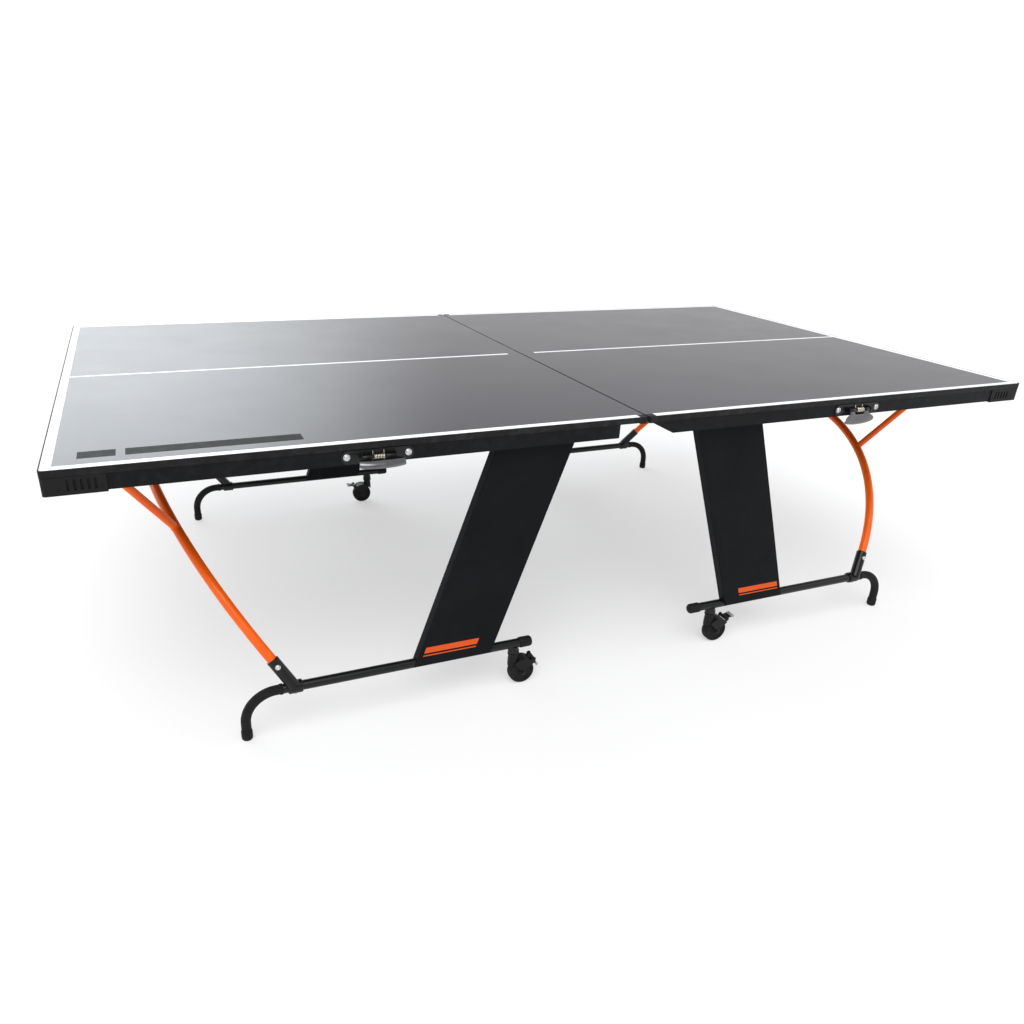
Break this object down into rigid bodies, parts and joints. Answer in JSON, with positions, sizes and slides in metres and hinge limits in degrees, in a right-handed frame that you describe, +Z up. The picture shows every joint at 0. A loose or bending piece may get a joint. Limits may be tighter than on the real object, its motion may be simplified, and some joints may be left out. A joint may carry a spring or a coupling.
{
  "type": "folding ping pong table",
  "caption": "Full-size folding ping pong table in rolling halves, with a black apron, slanted leg panels, curved feet, locking casters, edge latches and an orange arched brace.",
  "frame": {"origin": "on the floor under the centre of the table, at the middle of the bounding box base", "axes": "+X along the length of the table, +Y across its width to the far side, +Z up"},
  "size_m": [2.74, 1.6268, 0.76],
  "materials": {
    "board_laminate": "charcoal semi-gloss laminate with printed white lines",
    "black_powder_coat": "satin black powder coat on steel",
    "panel_powder_coat": "fine-texture matte black powder coat",
    "orange_powder_coat": "gloss orange powder coat on steel tube",
    "zinc_plate": "bright zinc plate",
    "black_plastic": "moulded black plastic, fine grain",
    "grey_plastic": "moulded grey plastic",
    "black_rubber": "matte black rubber",
    "wheel_rubber": "dull black tread"
  },
  "bodies": {
    "base_left": {"support_arch_left": "orange_powder_coat", "pivot_rod_left": "zinc_plate", "leg_panel_left_near": "panel_powder_coat", "foot_tube_left_near": "black_powder_coat", "tube_cap_left_near": "black_plastic", "curved_foot_left_near": "black_rubber", "arch_socket_left_near": "black_powder_coat", "strut_pad_left_near": "black_rubber", "leg_panel_left_far": "panel_powder_coat", "foot_tube_left_far": "black_powder_coat", "tube_cap_left_far": "black_plastic", "curved_foot_left_far": "black_rubber", "arch_socket_left_far": "black_powder_coat", "strut_pad_left_far": "black_rubber"},
    "top_left": {"tabletop_left": "board_laminate", "apron_frame_left": "black_powder_coat", "corner_guard_left_near": "black_plastic", "seam_cap_left_near": "black_plastic", "latch_bracket_left_near": "black_powder_coat", "corner_guard_left_far": "black_plastic", "seam_cap_left_far": "black_plastic", "latch_bracket_left_far": "black_powder_coat"},
    "base_right": {"support_arch_right": "orange_powder_coat", "pivot_rod_right": "zinc_plate", "leg_panel_right_near": "panel_powder_coat", "foot_tube_right_near": "black_powder_coat", "tube_cap_right_near": "black_plastic", "curved_foot_right_near": "black_rubber", "arch_socket_right_near": "black_powder_coat", "strut_pad_right_near": "black_rubber", "leg_panel_right_far": "panel_powder_coat", "foot_tube_right_far": "black_powder_coat", "tube_cap_right_far": "black_plastic", "curved_foot_right_far": "black_rubber", "arch_socket_right_far": "black_powder_coat", "strut_pad_right_far": "black_rubber"},
    "top_right": {"tabletop_right": "board_laminate", "apron_frame_right": "black_powder_coat", "corner_guard_right_near": "black_plastic", "seam_cap_right_near": "black_plastic", "latch_bracket_right_near": "black_powder_coat", "corner_guard_right_far": "black_plastic", "seam_cap_right_far": "black_plastic", "latch_bracket_right_far": "black_powder_coat"},
    "handle_left_near": {"latch_handle_left_near": "zinc_plate"},
    "caster_left_near": {"caster_fork_left_near": "black_plastic"},
    "wheel_left_near": {"caster_wheel_left_near": "wheel_rubber"},
    "pedal_left_near": {"brake_pedal_left_near": "grey_plastic"},
    "handle_left_far": {"latch_handle_left_far": "zinc_plate"},
    "caster_left_far": {"caster_fork_left_far": "black_plastic"},
    "wheel_left_far": {"caster_wheel_left_far": "wheel_rubber"},
    "pedal_left_far": {"brake_pedal_left_far": "grey_plastic"},
    "handle_right_near": {"latch_handle_right_near": "zinc_plate"},
    "caster_right_near": {"caster_fork_right_near": "black_plastic"},
    "wheel_right_near": {"caster_wheel_right_near": "wheel_rubber"},
    "pedal_right_near": {"brake_pedal_right_near": "grey_plastic"},
    "handle_right_far": {"latch_handle_right_far": "zinc_plate"},
    "caster_right_far": {"caster_fork_right_far": "black_plastic"},
    "wheel_right_far": {"caster_wheel_right_far": "wheel_rubber"},
    "pedal_right_far": {"brake_pedal_right_far": "grey_plastic"}
  },
  "joints": [
    {"name": "halves_apart", "type": "slide", "parent": "base_left", "child": "base_right", "axis": [1, 0, 0], "range_m": [0, 0.6]},
    {"name": "fold_left", "type": "hinge", "parent": "base_left", "child": "top_left", "pos_m": [-0.185, 0, 0.728], "axis": [0, 1, 0], "range_deg": [0, 85]},
    {"name": "fold_right", "type": "hinge", "parent": "base_right", "child": "top_right", "pos_m": [0.185, 0, 0.728], "axis": [0, -1, 0], "range_deg": [0, 85]},
    {"name": "latch_left_near", "type": "hinge", "parent": "top_left", "child": "handle_left_near", "pos_m": [-0.703, -0.771, 0.728], "axis": [-1, 0, 0], "range_deg": [-74, 0]},
    {"name": "swivel_left_near", "type": "hinge", "parent": "base_left", "child": "caster_left_near", "pos_m": [-0.315, -0.7125, 0.1], "axis": [0, 0, 1], "continuous": true},
    {"name": "roll_left_near", "type": "hinge", "parent": "caster_left_near", "child": "wheel_left_near", "pos_m": [-0.29, -0.7125, 0.037], "axis": [0, 1, 0], "continuous": true},
    {"name": "brake_left_near", "type": "hinge", "parent": "caster_left_near", "child": "pedal_left_near", "pos_m": [-0.25883, -0.7125, 0.07415], "axis": [0, 1, 0], "range_deg": [-68, 0]},
    {"name": "latch_left_far", "type": "hinge", "parent": "top_left", "child": "handle_left_far", "pos_m": [-0.703, 0.771, 0.728], "axis": [1, 0, 0], "range_deg": [-74, 0]},
    {"name": "swivel_left_far", "type": "hinge", "parent": "base_left", "child": "caster_left_far", "pos_m": [-0.348, 0.7125, 0.1], "axis": [0, 0, 1], "continuous": true},
    {"name": "roll_left_far", "type": "hinge", "parent": "caster_left_far", "child": "wheel_left_far", "pos_m": [-0.373, 0.7125, 0.037], "axis": [0, 1, 0], "continuous": true},
    {"name": "brake_left_far", "type": "hinge", "parent": "caster_left_far", "child": "pedal_left_far", "pos_m": [-0.40418, 0.7125, 0.07415], "axis": [0, -1, 0], "range_deg": [0, 68]},
    {"name": "latch_right_near", "type": "hinge", "parent": "top_right", "child": "handle_right_near", "pos_m": [0.703, -0.771, 0.728], "axis": [-1, 0, 0], "range_deg": [0, 74]},
    {"name": "swivel_right_near", "type": "hinge", "parent": "base_right", "child": "caster_right_near", "pos_m": [0.348, -0.7125, 0.1], "axis": [0, 0, 1], "continuous": true},
    {"name": "roll_right_near", "type": "hinge", "parent": "caster_right_near", "child": "wheel_right_near", "pos_m": [0.373, -0.7125, 0.037], "axis": [0, 1, 0], "continuous": true},
    {"name": "brake_right_near", "type": "hinge", "parent": "caster_right_near", "child": "pedal_right_near", "pos_m": [0.40418, -0.7125, 0.07415], "axis": [0, 1, 0], "range_deg": [0, 68]},
    {"name": "latch_right_far", "type": "hinge", "parent": "top_right", "child": "handle_right_far", "pos_m": [0.703, 0.771, 0.728], "axis": [1, 0, 0], "range_deg": [0, 74]},
    {"name": "swivel_right_far", "type": "hinge", "parent": "base_right", "child": "caster_right_far", "pos_m": [0.315, 0.7125, 0.1], "axis": [0, 0, 1], "continuous": true},
    {"name": "roll_right_far", "type": "hinge", "parent": "caster_right_far", "child": "wheel_right_far", "pos_m": [0.29, 0.7125, 0.037], "axis": [0, 1, 0], "continuous": true},
    {"name": "brake_right_far", "type": "hinge", "parent": "caster_right_far", "child": "pedal_right_far", "pos_m": [0.25883, 0.7125, 0.07415], "axis": [0, -1, 0], "range_deg": [-68, 0]}
  ]
}
